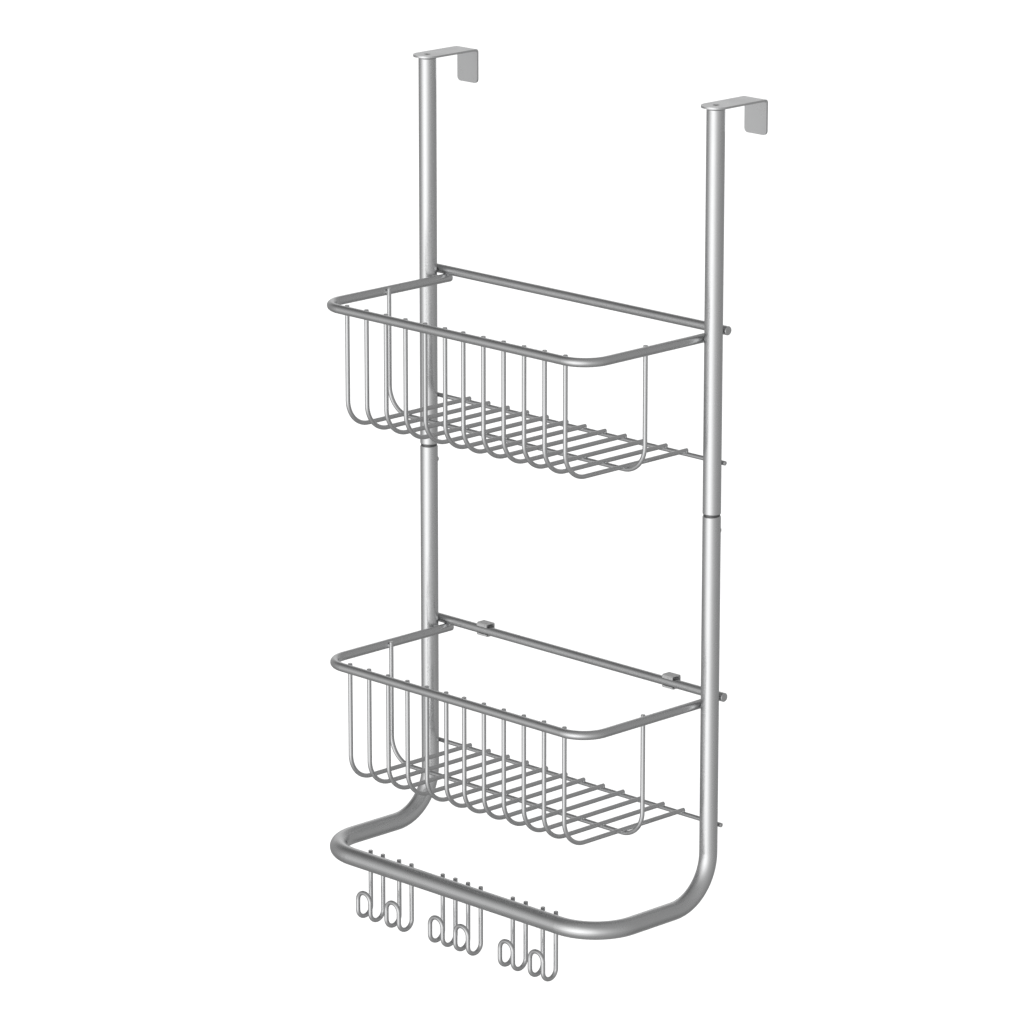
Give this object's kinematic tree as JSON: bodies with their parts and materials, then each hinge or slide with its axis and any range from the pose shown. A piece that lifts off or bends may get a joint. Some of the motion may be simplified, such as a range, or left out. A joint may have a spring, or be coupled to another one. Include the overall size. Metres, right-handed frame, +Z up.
{
  "type": "shower caddy",
  "caption": "Over-the-door shower caddy: a tube frame with two wire baskets, a towel rail and small hooks, hung from two flat swivelling brackets.",
  "frame": {"origin": "midway between the two tubes' axes, at the height of the brackets' underside, where the top edge of the door is", "axes": "+X right as seen from in front, +Y from the baskets towards the door, +Z up"},
  "size_m": [0.3754, 0.2008, 0.7634],
  "materials": {
    "tube_finish": "satin nickel plate on drawn steel tube",
    "rod_finish": "satin nickel plate on steel rod",
    "wire_finish": "satin nickel plate on steel wire",
    "hook_finish": "satin nickel plate on steel wire",
    "bracket_finish": "satin nickel plate on pressed steel strap",
    "screw_finish": "dark plated steel screw",
    "clip_finish": "silver grey moulded plastic",
    "plug_finish": "dark grey moulded plastic",
    "sleeve_finish": "dull plated steel"
  },
  "bodies": {
    "frame": {"bracket_screw_left": "screw_finish", "bracket_screw_right": "screw_finish", "hook_1": "hook_finish", "hook_2": "hook_finish", "hook_3": "hook_finish", "hook_4": "hook_finish", "hook_5": "hook_finish", "hook_6": "hook_finish", "joint_screws": "screw_finish", "joint_sleeve_left": "sleeve_finish", "joint_sleeve_right": "sleeve_finish", "lower_basket_cross_wire": "wire_finish", "lower_basket_floor_rod": "wire_finish", "lower_basket_rear_rail": "rod_finish", "lower_basket_rim": "rod_finish", "lower_basket_wire_01": "wire_finish", "lower_basket_wire_02": "wire_finish", "lower_basket_wire_03": "wire_finish", "lower_basket_wire_04": "wire_finish", "lower_basket_wire_05": "wire_finish", "lower_basket_wire_06": "wire_finish", "lower_basket_wire_07": "wire_finish", "lower_basket_wire_08": "wire_finish", "lower_basket_wire_09": "wire_finish", "lower_basket_wire_10": "wire_finish", "lower_basket_wire_11": "wire_finish", "lower_basket_wire_12": "wire_finish", "lower_frame_tube": "tube_finish", "tube_plug_left": "plug_finish", "tube_plug_right": "plug_finish", "upper_basket_cross_wire": "wire_finish", "upper_basket_floor_rod": "wire_finish", "upper_basket_rear_rail": "rod_finish", "upper_basket_rim": "rod_finish", "upper_basket_wire_01": "wire_finish", "upper_basket_wire_02": "wire_finish", "upper_basket_wire_03": "wire_finish", "upper_basket_wire_04": "wire_finish", "upper_basket_wire_05": "wire_finish", "upper_basket_wire_06": "wire_finish", "upper_basket_wire_07": "wire_finish", "upper_basket_wire_08": "wire_finish", "upper_basket_wire_09": "wire_finish", "upper_basket_wire_10": "wire_finish", "upper_basket_wire_11": "wire_finish", "upper_basket_wire_12": "wire_finish", "upper_tube_left": "tube_finish", "upper_tube_right": "tube_finish"},
    "bracket_left": {"door_bracket_left": "bracket_finish"},
    "bracket_right": {"door_bracket_right": "bracket_finish"},
    "clip_left": {"bumper_clip_left": "clip_finish"},
    "clip_right": {"bumper_clip_right": "clip_finish"}
  },
  "joints": [
    {"name": "bracket_left_swivel", "type": "hinge", "parent": "frame", "child": "bracket_left", "pos_m": [-0.175, 0, 0], "axis": [0, 0, 1], "continuous": true},
    {"name": "bracket_right_swivel", "type": "hinge", "parent": "frame", "child": "bracket_right", "pos_m": [0.175, 0, 0], "axis": [0, 0, 1], "continuous": true},
    {"name": "clip_left_slide", "type": "slide", "parent": "frame", "child": "clip_left", "axis": [-1, 0, 0], "range_m": [-0.108, 0.035]},
    {"name": "clip_right_slide", "type": "slide", "parent": "frame", "child": "clip_right", "axis": [1, 0, 0], "range_m": [-0.108, 0.035]}
  ]
}
